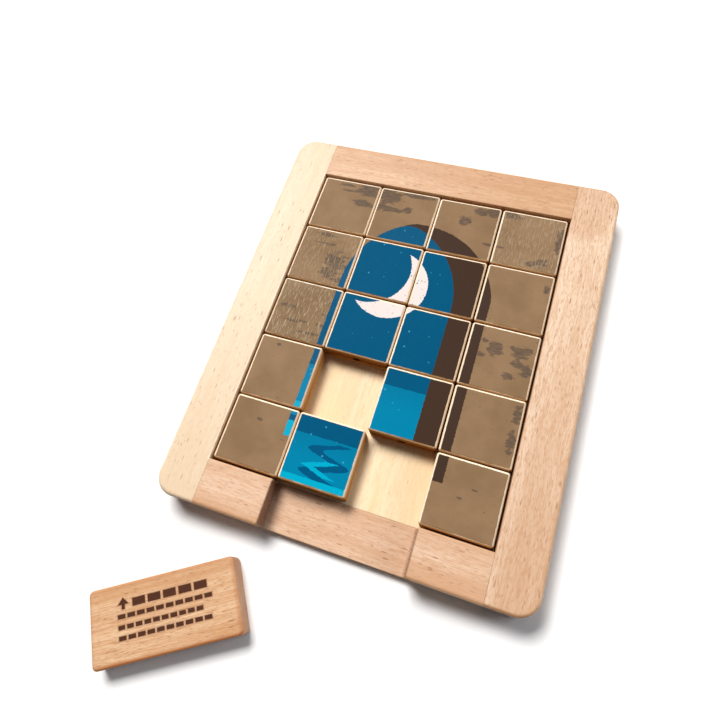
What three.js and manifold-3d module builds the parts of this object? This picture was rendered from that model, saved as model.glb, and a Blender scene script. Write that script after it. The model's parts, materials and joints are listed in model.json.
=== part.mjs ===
// A sliding tile puzzle: a shallow wooden tray, eighteen square tiles and a lift-out block.
// Sizes are millimetres. +X is right, +Y is the far side, +Z is up.
// The origin is the centre of the tray's underside, which rests on the table at z = 0.

import * as THREE from "three";
import { mergeVertices } from "three/addons/utils/BufferGeometryUtils.js";
import Module from "manifold-3d";

const wasm = await Module();
wasm.setup();

// Playing grid: rows count from the far side, columns from the left
const columns = 4;
const rows = 5;
const tilePitch = 30;
const tileGap = 0.5;
const wallSlack = 0.75; // room past the grid at every pocket wall
const emptyCells = ["r4c2", "r5c3"];

// Tiles
const tileThickness = 9.2;
const tileCornerRadius = 1.1;
const tileEdgeRadius = 0.8;
const tileSeatGap = 0.1; // running clearance under a tile
const tileSinkDepth = 0.7; // tile tops stay this far below the tray's rim
const pinHoleDiameter = 3;
const pinHoleDepth = 4;

// How far a column's tiles have slipped toward the near side, as a share of the gap between tiles.
// The slip holds for the rows above the one named in slipRows.
const columnSlip = [0, 0.05, 0.6, 0.5];
const slipRows = 3;
const columnShift = [0.1, -0.1, -0.25, 0.2]; // sideways, the same share, for every row

// Tray
const railWidth = 19.5;
const floorThickness = 4;
const frameCornerRadius = 9;
const frameEdgeRadius = 1.5;
const pocketEdgeChamfer = 0.4;
const glueLine = 0.1;

// The floor panel sits in a rebate under both stiles and the top rail
const rebateWidth = 5;
const rebateClearance = 0.3;

// Exit channel: two cells wide, through the bottom rail, level with the floor
const channelColumns = [2, 3];
const channelSlack = 1;
const channelFootRadius = 2.2;

// Corner dowels, two at each end of each rail
const dowelDiameter = 5;
const dowelLength = 24;
const dowelSpacing = 9;
const dowelClearance = 0.15;
const dowelEndRoom = 0.5;

// Lift-out block, two cells long, lying beside the tray
const blockCells = 2;
const blockCornerRadius = 2;
const blockEdgeRadius = 0.9;
const blockOffsetX = -55.7;
const blockStandOff = 42; // from the tray's near edge to the block's centre
const blockTurn = THREE.MathUtils.degToRad(31.5);

// Worked out from the sizes above
const tileSide = tilePitch - tileGap;
const blockLength = blockCells * tilePitch + 2 * wallSlack; // takes up the slack in its row as well
const pocketWidth = columns * tilePitch + 2 * wallSlack;
const pocketLength = rows * tilePitch + 2 * wallSlack;
const frameWidth = pocketWidth + 2 * railWidth;
const frameLength = pocketLength + 2 * railWidth;
const frameHeight = floorThickness + tileSeatGap + tileThickness + tileSinkDepth;
const rebateHeight = floorThickness + glueLine;
const dowelZ = (rebateHeight + frameHeight) / 2;
const railCentreY = pocketLength / 2 + railWidth / 2;
const cutOverrun = 5; // how far a cutter runs past the wood

const colours = {
  paleBeech: new THREE.Color("#ead3ae"),
  beech: new THREE.Color("#dcb98e"),
  birch: new THREE.Color("#e6cf9f"),
  dowelBeech: new THREE.Color("#cfa877"),
  blockBeech: new THREE.Color("#d3ab80"),
  wall: new THREE.Color("#9c7f62"),
  sky: new THREE.Color("#015c84"),
  sea: new THREE.Color("#0488b0"),
};

// Columns and rows that the painted archway covers give a tile its main colour
function tileColour(row, column) {
  if (column === 1 || column === 4 || row === 1) return colours.wall;
  return row >= 4 ? colours.sea : colours.sky;
}

function woodMaterial(color, roughness = 0.6) {
  return new THREE.MeshStandardMaterial({ color, roughness, metalness: 0, flatShading: true });
}

// three.js geometry to solid and back

function solidFrom(geometry) {
  const bare = geometry.clone();
  bare.deleteAttribute("normal");
  bare.deleteAttribute("uv");
  const merged = mergeVertices(bare, 1e-5);
  return new wasm.Manifold(
    new wasm.Mesh({
      numProp: 3,
      vertProperties: new Float32Array(merged.attributes.position.array),
      triVerts: new Uint32Array(merged.index.array),
    })
  );
}

function geometryFrom(solid) {
  const mesh = solid.getMesh();
  const geometry = new THREE.BufferGeometry();
  geometry.setAttribute("position", new THREE.BufferAttribute(mesh.vertProperties, 3));
  geometry.setIndex(new THREE.BufferAttribute(mesh.triVerts, 1));
  geometry.computeVertexNormals();
  return geometry;
}

// Basic shapes

function boxSolid([x0, x1], [y0, y1], [z0, z1]) {
  const geometry = new THREE.BoxGeometry(x1 - x0, y1 - y0, z1 - z0);
  geometry.translate((x0 + x1) / 2, (y0 + y1) / 2, (z0 + z1) / 2);
  return solidFrom(geometry);
}

function roundedRectangle(width, length, radius) {
  const [right, top] = [width / 2 - radius, length / 2 - radius];
  const shape = new THREE.Shape();
  shape.absarc(right, top, radius, 0, Math.PI / 2);
  shape.absarc(-right, top, radius, Math.PI / 2, Math.PI);
  shape.absarc(-right, -top, radius, Math.PI, Math.PI * 1.5);
  shape.absarc(right, -top, radius, Math.PI * 1.5, Math.PI * 2);
  return shape;
}

// A slab standing on z = 0, with round corners in plan and rounded top and bottom edges
function roundedSlab(width, length, height, cornerRadius, edgeRadius, steps) {
  const geometry = new THREE.ExtrudeGeometry(roundedRectangle(width, length, cornerRadius), {
    depth: height - 2 * edgeRadius,
    curveSegments: steps.corner,
    bevelSegments: steps.edge,
    bevelThickness: edgeRadius,
    bevelSize: edgeRadius,
    bevelOffset: -edgeRadius,
  });
  geometry.translate(0, 0, edgeRadius);
  return solidFrom(geometry);
}

function dowelSolid(radius, length) {
  const geometry = new THREE.CylinderGeometry(radius, radius, length, 12);
  geometry.rotateZ(Math.PI / 2);
  return solidFrom(geometry);
}

// Tray

// The pocket's outline, widening by the chamfer where it reaches the rim
function pocketCutter() {
  const shape = new THREE.Shape();
  shape.moveTo(-pocketWidth / 2, -pocketLength / 2);
  shape.lineTo(pocketWidth / 2, -pocketLength / 2);
  shape.lineTo(pocketWidth / 2, pocketLength / 2);
  shape.lineTo(-pocketWidth / 2, pocketLength / 2);
  const rim = new THREE.ExtrudeGeometry(shape, {
    depth: cutOverrun,
    bevelSegments: 1,
    bevelThickness: pocketEdgeChamfer,
    bevelSize: pocketEdgeChamfer,
  });
  rim.translate(0, 0, frameHeight);
  const well = boxSolid(
    [-pocketWidth / 2, pocketWidth / 2],
    [-pocketLength / 2, pocketLength / 2],
    [-cutOverrun, frameHeight]
  );
  return well.add(solidFrom(rim));
}

function rebateCutter() {
  const side = pocketWidth / 2 + rebateWidth;
  return boxSolid([-side, side], [-pocketLength / 2, pocketLength / 2 + rebateWidth], [-cutOverrun, rebateHeight]);
}

// Left edge of a column's cell, measured from the tray's centre
function columnEdge(column) {
  return (column - 1 - columns / 2) * tilePitch;
}

// The channel's end walls meet its floor in a concave fillet, and are eased at the rim
function channelCutter() {
  const left = columnEdge(channelColumns[0]) - channelSlack;
  const right = columnEdge(channelColumns[1]) + tilePitch + channelSlack;
  const foot = floorThickness + channelFootRadius;
  const rim = frameHeight - pocketEdgeChamfer;
  const shape = new THREE.Shape();
  shape.absarc(left + channelFootRadius, foot, channelFootRadius, Math.PI, Math.PI * 1.5);
  shape.absarc(right - channelFootRadius, foot, channelFootRadius, Math.PI * 1.5, Math.PI * 2);
  shape.lineTo(right, rim);
  shape.lineTo(right + pocketEdgeChamfer, frameHeight);
  shape.lineTo(right + pocketEdgeChamfer, frameHeight + cutOverrun);
  shape.lineTo(left - pocketEdgeChamfer, frameHeight + cutOverrun);
  shape.lineTo(left - pocketEdgeChamfer, frameHeight);
  shape.lineTo(left, rim);
  const run = railWidth + cutOverrun;
  const geometry = new THREE.ExtrudeGeometry(shape, { depth: run, curveSegments: 5, bevelEnabled: false });
  geometry.rotateX(Math.PI / 2); // the profile's height becomes z and it runs toward -Y
  geometry.translate(0, -pocketLength / 2, 0);
  return solidFrom(geometry);
}

// Where each dowel crosses a joint between a rail and a stile
function dowelPlaces() {
  const places = [];
  for (const [end, sideY] of [["far", 1], ["near", -1]]) {
    for (const [side, sideX] of [["left", -1], ["right", 1]]) {
      for (const [index, offset] of [["inner", -0.5], ["outer", 0.5]]) {
        const name = `dowel_${end}_${side}_${index}`;
        const y = sideY * (railCentreY + offset * dowelSpacing);
        places.push({ name, x: (sideX * pocketWidth) / 2, y });
      }
    }
  }
  return places;
}

function trayRing() {
  const blank = roundedSlab(frameWidth, frameLength, frameHeight, frameCornerRadius, frameEdgeRadius, {
    corner: 8,
    edge: 3,
  });
  let ring = blank.subtract(pocketCutter()).subtract(rebateCutter()).subtract(channelCutter());
  const hole = dowelSolid(dowelDiameter / 2 + dowelClearance, dowelLength + 2 * dowelEndRoom);
  for (const { x, y } of dowelPlaces()) {
    ring = ring.subtract(hole.translate([x, y, dowelZ]));
  }
  return ring;
}

// The ring parted at the joints: full-length stiles, with the rails between them
function addTray(group) {
  const ring = trayRing();
  const stileFrom = pocketWidth / 2;
  const outer = frameWidth / 2 + cutOverrun;
  const length = [-frameLength / 2 - cutOverrun, frameLength / 2 + cutOverrun];
  const height = [-cutOverrun, frameHeight + cutOverrun];
  const railSpan = [-stileFrom + glueLine, stileFrom - glueLine];
  const pieces = [
    ["left_stile", boxSolid([-outer, -stileFrom], length, height), colours.paleBeech],
    ["right_stile", boxSolid([stileFrom, outer], length, height), colours.beech],
    ["top_rail", boxSolid(railSpan, [0, length[1]], height), colours.beech],
    ["bottom_rail", boxSolid(railSpan, [length[0], 0], height), colours.beech],
  ];
  for (const [name, part, colour] of pieces) {
    addMesh(group, name, geometryFrom(ring.intersect(part)), woodMaterial(colour));
  }
}

function addFloorPanel(group) {
  const side = pocketWidth / 2 + rebateWidth - rebateClearance;
  const near = -pocketLength / 2 + glueLine;
  const far = pocketLength / 2 + rebateWidth - rebateClearance;
  const geometry = new THREE.BoxGeometry(2 * side, far - near, floorThickness);
  const panel = addMesh(group, "floor_panel", geometry, woodMaterial(colours.birch));
  panel.position.set(0, (near + far) / 2, floorThickness / 2);
}

function addDowels(group) {
  const geometry = geometryFrom(dowelSolid(dowelDiameter / 2, dowelLength));
  const material = woodMaterial(colours.dowelBeech);
  for (const { name, x, y } of dowelPlaces()) {
    addMesh(group, name, geometry, material).position.set(x, y, dowelZ);
  }
}

// Tiles and block

// A tile standing on z = 0, with a blind hole in the middle of its near side
function tileGeometry() {
  const body = roundedSlab(tileSide, tileSide, tileThickness, tileCornerRadius, tileEdgeRadius, {
    corner: 2,
    edge: 2,
  });
  const hole = new THREE.CylinderGeometry(pinHoleDiameter / 2, pinHoleDiameter / 2, 2 * pinHoleDepth, 12);
  hole.translate(0, -tileSide / 2, tileThickness / 2);
  return geometryFrom(body.subtract(solidFrom(hole)));
}

function cellCentre(row, column) {
  return [columnEdge(column) + tilePitch / 2, (rows / 2 - row + 0.5) * tilePitch];
}

function addTiles(group) {
  const geometry = tileGeometry();
  for (let row = 1; row <= rows; row++) {
    for (let column = 1; column <= columns; column++) {
      const cell = `r${row}c${column}`;
      if (emptyCells.includes(cell)) continue;
      const tile = addMesh(group, `tile_${cell}`, geometry, woodMaterial(tileColour(row, column), 0.45));
      const [x, y] = cellCentre(row, column);
      const slip = row <= slipRows ? columnSlip[column - 1] * tileGap : 0;
      const shift = columnShift[column - 1] * tileGap;
      tile.position.set(x + shift, y - slip, floorThickness + tileSeatGap);
    }
  }
}

function addBlock(group) {
  const solid = roundedSlab(blockLength, tileSide, tileThickness, blockCornerRadius, blockEdgeRadius, {
    corner: 4,
    edge: 3,
  });
  const block = addMesh(group, "lift_out_block", geometryFrom(solid), woodMaterial(colours.blockBeech));
  block.position.set(blockOffsetX, -frameLength / 2 - blockStandOff, 0);
  block.rotation.z = blockTurn;
}

function addMesh(group, name, geometry, material) {
  const mesh = new THREE.Mesh(geometry, material);
  mesh.name = name;
  group.add(mesh);
  return mesh;
}

const puzzle = new THREE.Group();
addTray(puzzle);
addFloorPanel(puzzle);
addDowels(puzzle);
addTiles(puzzle);
addBlock(puzzle);

export default puzzle;
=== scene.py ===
import json
import math

import bmesh
import bpy
import numpy as np
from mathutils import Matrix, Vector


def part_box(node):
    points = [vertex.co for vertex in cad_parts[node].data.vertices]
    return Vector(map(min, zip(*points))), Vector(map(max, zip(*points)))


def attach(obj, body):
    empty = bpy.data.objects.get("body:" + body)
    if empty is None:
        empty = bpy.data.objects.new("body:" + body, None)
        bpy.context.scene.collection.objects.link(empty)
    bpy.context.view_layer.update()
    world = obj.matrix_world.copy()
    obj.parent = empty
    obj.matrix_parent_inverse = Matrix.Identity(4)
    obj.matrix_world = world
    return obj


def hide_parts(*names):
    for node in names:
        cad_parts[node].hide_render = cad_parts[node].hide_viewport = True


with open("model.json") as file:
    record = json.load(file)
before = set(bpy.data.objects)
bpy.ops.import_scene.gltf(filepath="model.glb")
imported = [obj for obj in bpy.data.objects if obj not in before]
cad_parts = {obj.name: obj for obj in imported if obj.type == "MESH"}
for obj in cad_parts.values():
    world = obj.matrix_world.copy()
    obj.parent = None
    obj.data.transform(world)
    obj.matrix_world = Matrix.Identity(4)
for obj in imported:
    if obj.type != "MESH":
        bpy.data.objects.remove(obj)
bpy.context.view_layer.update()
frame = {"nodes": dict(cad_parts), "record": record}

mm = 0.001
join = np.concatenate
print("frame loaded:", len(frame["nodes"]), "nodes")


# small helpers for meshes

def arc(start, end, steps):
    # angles from start to end in degrees, both ends included
    return np.radians(np.linspace(start, end, steps + 1))


def ringFaces(count, width):
    # count rings of width points each: quads between neighbours, wrapped round
    ring = np.arange(count - 1)[:, None] * width
    here = np.arange(width)[None, :]
    after = (here + 1) % width
    return np.stack([ring + here, ring + after, ring + width + after, ring + width + here], -1)


def makePiece(name, points, faces, extras=None, sharpAngle=32.0, mergeGap=2e-6):
    # points and faces into a mesh whose doubles are merged and whose faces look outward
    mesh = bpy.data.meshes.new(name)
    mesh.from_pydata(points.tolist(), [], faces)
    for key, values in (extras or {}).items():
        mesh.attributes.new(key, "FLOAT", "POINT").data.foreach_set("value", values.astype(np.float32))
    work = bmesh.new()
    work.from_mesh(mesh)
    bmesh.ops.remove_doubles(work, verts=work.verts, dist=mergeGap)
    bmesh.ops.dissolve_degenerate(work, dist=mergeGap, edges=work.edges)
    loose = [v for v in work.verts if not v.link_faces]
    bmesh.ops.delete(work, geom=loose, context="VERTS")
    bmesh.ops.recalc_face_normals(work, faces=work.faces)
    work.to_mesh(mesh)
    work.free()
    mesh.shade_smooth()
    mesh.set_sharp_from_angle(angle=math.radians(sharpAngle))
    piece = bpy.data.objects.new(name, mesh)
    bpy.context.scene.collection.objects.link(piece)
    return piece


def corners(node):
    low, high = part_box(node)
    return np.array(low), np.array(high)


# small helpers for materials

def colour(code):
    # hex code of a screen colour to linear light
    parts = [int(code[i:i + 2], 16) / 255 for i in (1, 3, 5)]
    light = [p / 12.92 if p <= 0.04045 else ((p + 0.055) / 1.055) ** 2.4 for p in parts]
    return (*light, 1.0)


drawing = dict(tree=None)  # the node tree being built


def addNode(kind, sockets=None, **settings):
    # each socket takes a link, a number or a hex colour
    tree = drawing["tree"]
    node = tree.nodes.new("ShaderNode" + kind)
    for key, value in settings.items():
        setattr(node, key, value)
    for key, value in (sockets or {}).items():
        if isinstance(value, bpy.types.NodeSocket):
            tree.links.new(value, node.inputs[key])
        else:
            node.inputs[key].default_value = colour(value) if isinstance(value, str) else value
    return node


def calc(operation, a, b=0.0, c=0.0):
    return addNode("Math", {0: a, 1: b, 2: c}, operation=operation).outputs[0]


def times(a, b):
    return calc("MULTIPLY", a, b)


def plus(a, b):
    return calc("ADD", a, b)


def minus(a, b):
    return calc("SUBTRACT", a, b)


def timesPlus(a, b, c):
    return calc("MULTIPLY_ADD", a, b, c)


def largest(value, *others):
    for other in others:
        value = calc("MAXIMUM", value, other)
    return value


def vectorCalc(operation, a, b):
    return addNode("VectorMath", {0: a, 1: b}, operation=operation).outputs[0]


def length(vector):
    return addNode("VectorMath", {0: vector}, operation="LENGTH").outputs["Value"]


def split(vector):
    return addNode("SeparateXYZ", {0: vector}).outputs


def fade(value, low, high, toLow=0.0, toHigh=1.0):
    # smooth step from toLow at low to toHigh at high
    sockets = {0: value, 1: low, 2: high, 3: toLow, 4: toHigh}
    return addNode("MapRange", sockets, interpolation_type="SMOOTHSTEP").outputs[0]


def mixColour(share, a, b, mode="MIX"):
    sockets = {0: share, 6: a, 7: b}
    return addNode("Mix", sockets, data_type="RGBA", blend_type=mode).outputs[2]


def noise(place, stretch, detail=2.0, roughness=0.5):
    # noise whose cells are 1 / stretch millimetres long on each axis
    spot = vectorCalc("MULTIPLY", place, stretch)
    sockets = {"Vector": spot, "Scale": 1.0, "Detail": detail, "Roughness": roughness}
    return addNode("TexNoise", sockets).outputs[0]


def newGroup(name, inputs, outputs):
    tree = bpy.data.node_groups.new(name, "ShaderNodeTree")
    drawing["tree"] = tree
    for socketName, kind, value in inputs:
        kind = "NodeSocket" + kind
        socket = tree.interface.new_socket(name=socketName, in_out="INPUT", socket_type=kind)
        if value is not None:
            socket.default_value = value
    for socketName, kind in outputs:
        tree.interface.new_socket(name=socketName, in_out="OUTPUT", socket_type="NodeSocket" + kind)
    return tree, tree.nodes.new("NodeGroupInput").outputs, tree.nodes.new("NodeGroupOutput").inputs


def feed(targets, values):
    for key, value in values.items():
        drawing["tree"].links.new(value, targets[key])


def placeGroup(group, sockets):
    return addNode("Group", sockets, node_tree=group).outputs


def newMaterial(name):
    material = bpy.data.materials.new(name)
    material.use_nodes = True
    drawing["tree"] = material.node_tree
    return material, material.node_tree.nodes["Principled BSDF"].inputs


def objectPlace(turn=0.0, shift=(0.0, 0.0, 0.0)):
    # the piece's own coordinates in millimetres, turned so that X runs along the grain
    own = addNode("TexCoord").outputs["Object"]
    rotation = (0, 0, math.radians(turn))
    sockets = {"Vector": own, "Location": shift, "Rotation": rotation, "Scale": (1 / mm,) * 3}
    return addNode("Mapping", sockets).outputs[0]


def attribute(name):
    node = addNode("Attribute", attribute_name=name, attribute_type="GEOMETRY")
    return node.outputs["Fac"]


def bumpNormal(height, strength, depth):
    sockets = {"Strength": strength, "Distance": depth, "Height": height}
    return addNode("Bump", sockets).outputs[0]


# Beech: soft growth bands, fine fibres and short dark ray flecks, all stretched along X.
# Noise settings are its stretch on each axis, its detail and its roughness.
woodLook = dict(
    drift=((0.018, 0.03, 0.03), 1.0),
    sway=3.0,  # millimetres that the figure wanders sideways
    band=((0.005, 0.11, 0.11), 4.0, 0.6), bandLevels=(0.36, 0.66), bandStrength=0.7,
    cloud=((0.02, 0.06, 0.06), 2.0), cloudStrength=0.6,
    # each mark has its noise, the two levels it comes in between, strength, amount input and colour input
    marks=dict(
        fibre=((0.07, 1.9, 1.9), 2.0, 0.6, (0.42, 0.72), 1.0, "Fibres", "Deep"),
        mottle=((0.11, 0.75, 0.75), 3.0, 0.65, (0.47, 0.68), 0.75, "Figure", "Deep"),
        silk=((0.36, 1.55, 1.55), 1.0, 0.5, (0.52, 0.66), 0.8, "Silk", "Deep"),
        pore=((0.35, 4.2, 4.2), 1.0, 0.5, (0.58, 0.74), 0.7, "Fibres", "Fleck"),
    ),
    longFlecks=(0.15, 0.8, 0.8), longSizes=(0.12, 0.3), shortFlecks=(0.27, 1.25, 1.25),
    shortSizes=(0.1, 0.3), shortShare=0.8, shortStrength=0.7, fleckStrength=0.75,
    fleckCore=0.45,  # share of a fleck's size that is fully dark
    palestFleck=0.4,
    # fibres stand proud of the surface, flecks and pores are sunk
    fibreHeight=0.7, fleckHeight=-0.5, poreHeight=-0.35, roughness=0.40, fibreRoughness=0.16,
    fleckRoughness=0.12,
)


def fleckMask(place, cells, amount, sizes):
    # one lens-shaped fleck in some of the cells, its size drawn at random for each
    spot = vectorCalc("MULTIPLY", place, cells)
    cell = addNode("TexVoronoi", {"Vector": spot, "Scale": 1.0}, feature="F1")
    draw = addNode("SeparateColor", {0: cell.outputs["Color"]}).outputs
    reach = timesPlus(draw[0], sizes[1] - sizes[0], sizes[0])
    inner = times(reach, woodLook["fleckCore"])
    body = fade(cell.outputs["Distance"], reach, inner)
    chosen = calc("LESS_THAN", draw[1], amount)
    palest = woodLook["palestFleck"]
    depth = timesPlus(draw[2], 1 - palest, palest)
    return times(times(body, chosen), depth)


def buildWoodGrain():
    look = woodLook
    inputs = [("Place", "Vector", None), ("Pale", "Color", None), ("Deep", "Color", None),
              ("Fleck", "Color", None), ("Figure", "Float", 0.5), ("Flecks", "Float", 0.5),
              ("Fibres", "Float", 0.5), ("Silk", "Float", 0.3)]
    outputs = [("Colour", "Color"), ("Height", "Float"), ("Roughness", "Float")]
    tree, given, result = newGroup("woodGrain", inputs, outputs)
    push = timesPlus(noise(given["Place"], *look["drift"]), look["sway"], -0.5 * look["sway"])
    across = addNode("CombineXYZ", {1: push, 2: push}).outputs[0]
    place = vectorCalc("ADD", given["Place"], across)
    band = times(fade(noise(place, *look["band"]), *look["bandLevels"]), look["bandStrength"])
    banded = timesPlus(noise(place, *look["cloud"]), look["cloudStrength"], band)
    base = mixColour(times(banded, given["Figure"]), given["Pale"], given["Deep"])
    field = {}
    for kind, (stretch, detail, roughness, levels, strength, amount, tint) in look["marks"].items():
        field[kind] = noise(place, stretch, detail, roughness)
        share = times(fade(field[kind], *levels), times(given[amount], strength))
        base = mixColour(share, base, given[tint])
    long = fleckMask(place, look["longFlecks"], given["Flecks"], look["longSizes"])
    fewer = times(given["Flecks"], look["shortShare"])
    short = fleckMask(place, look["shortFlecks"], fewer, look["shortSizes"])
    flecks = largest(long, times(short, look["shortStrength"]))
    base = mixColour(times(flecks, look["fleckStrength"]), base, given["Fleck"])
    height = timesPlus(flecks, look["fleckHeight"], times(field["fibre"], look["fibreHeight"]))
    height = timesPlus(field["pore"], look["poreHeight"], height)
    rough = timesPlus(field["fibre"], look["fibreRoughness"], look["roughness"])
    rough = timesPlus(flecks, look["fleckRoughness"], rough)
    feed(result, dict(Colour=base, Height=height, Roughness=rough))
    return tree


woodGrain = buildWoodGrain()


def grained(place, pale, deep, fleck, figure=0.5, flecks=0.5, fibres=0.5, silk=0.3):
    # the grain in three hex colours, with the amount of each kind of mark
    return placeGroup(woodGrain, {
        "Place": place, "Pale": pale, "Deep": deep, "Fleck": fleck,
        "Figure": figure, "Flecks": flecks, "Fibres": fibres, "Silk": silk,
    })


# Where a piece has them, its edge attribute mixes the rounded edges toward the edge colour: paler worn wood
# on the left stile, painted shade on the right stile and the rails. Its endGrain attribute darkens the faces
# across the grain, and on the near rail also paints shade on the channel's end walls and foot. Levels are
# where a patch of wear starts and where it is full.
finishLook = dict(
    worn=((0.25, 0.5, 0.5), 3.0), wornLevels=(0.3, 0.6), wornShares=(0.35, 0.95),
    speck=((1.1, 1.3, 1.3), 3.0, 0.7), speckLevels=(0.3, 0.7), speckShares=(0.6, 0.95),
    heartShade="#e3c9b6",
    heart=((0.05,) * 3, 3.0), heartWaver=0.9, heartLevels=(1.55, 1.38), bumpDepth=0.25 * mm,
    specular=0.35, coatRoughness=0.35,
)


def woodMaterial(name, pale, deep, fleck, turn=0.0, shift=(0.0, 0.0, 0.0), figure=0.5, flecks=0.5,
                 fibres=0.3, silk=0.3, relief=0.3, coat=0.12, edge=None, ends=None, heart=None):
    look = finishLook
    material, shader = newMaterial(name)
    place = objectPlace(turn, shift)
    grain = grained(place, pale, deep, fleck, figure, flecks, fibres, silk)
    shade = grain["Colour"]
    if heart:
        # a redder tongue of older wood, and a slow darkening toward the near end
        centre, halves, share, nearShare = heart
        own = objectPlace()
        wavy = noise(own, *look["heart"])
        away = vectorCalc("SUBTRACT", own, (*centre, 0.0))
        reach = length(vectorCalc("MULTIPLY", away, (1 / halves[0], 1 / halves[1], 0)))
        waved = timesPlus(wavy, look["heartWaver"], reach)
        tongue = fade(waved, *look["heartLevels"], 0.0, share)
        alongY = split(own)[1]
        slope = fade(alongY, stileHigh[1] / mm, stileLow[1] / mm, 0.0, nearShare)
        shade = mixColour(largest(tongue, slope), shade, look["heartShade"], "MULTIPLY")
    # the edge colour: worn paler wood on the left stile, painted shade on the rounded edges of the right
    # stile and rails
    if edge:
        worn = noise(place, *look["worn"])
        edgeWearAndShade = fade(worn, *look["wornLevels"], *look["wornShares"])
        shade = mixColour(times(attribute("edge"), edgeWearAndShade), shade, edge)
    if ends:
        speck = noise(place, *look["speck"])
        dark = fade(speck, *look["speckLevels"], *look["speckShares"])
        shade = mixColour(times(attribute("endGrain"), dark), shade, ends)
    normal = bumpNormal(grain["Height"], relief, look["bumpDepth"])
    feed(shader, {"Base Color": shade, "Roughness": grain["Roughness"], "Normal": normal})
    shader["Specular IOR Level"].default_value = look["specular"]
    shader["Coat Weight"].default_value = coat
    shader["Coat Roughness"].default_value = look["coatRoughness"]
    return material


# Tray: two full-length stiles with the rails between them
tray = dict(
    cornerRadius=9.0 * mm, edgeRadius=1.5 * mm, pocketEase=0.4 * mm, channelHalfWidth=31.0 * mm,
    channelFoot=2.2 * mm, floorHeight=4.0 * mm, rebateWidth=5.0 * mm, rebateHeight=4.1 * mm,
    support=0.35 * mm,  # a ring just inside each round edge keeps the flats flat
    pastCorner=2.0 * mm,  # the first station of a stile's outside past each corner
    roundSteps=6, cornerSteps=14, endStations=6, sideStations=41,
    rebateTurn=10,  # stations that the rebate takes to come round the far corner
    footSteps=8, rimStations=14, dropStations=6, halfFloorStations=12,
    # radius of the near rail's outer edge and inner edge: floor, above the foot, below the rim, rim
    nearRoll=(0.45 * mm, 0.8 * mm, 1.7 * mm, 1.5 * mm),
    nearEase=(0.1 * mm, 0.25 * mm, 0.35 * mm, 0.4 * mm),
    underPull=(3.0 * mm, 2.4 * mm, 0.4 * mm),  # keeps the underside's stations clear of the end wall
)
stileLow, stileHigh = corners("left_stile")
railLow, railHigh = corners("top_rail")
nearLow, nearHigh = corners("bottom_rail")
trayTop = stileHigh[2]

# the quarter round of the outer edges, coming up from the underside: inset, height and share of the edge
# colour
roll = arc(0, 90, tray["roundSteps"])
rollInset, rollRise, rollWear = 1 - np.sin(roll), 1 - np.cos(roll), np.sin(2 * roll)


def station(x, y, z, worn=0.0, end=0.0):
    # a guide line: its points along the path, their share of the edge colour (worn paler wood on the left
    # stile, painted shade on the right stile and rails) and how much end grain they show
    return np.stack(np.broadcast_arrays(x, y, z, worn, end), -1)


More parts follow.
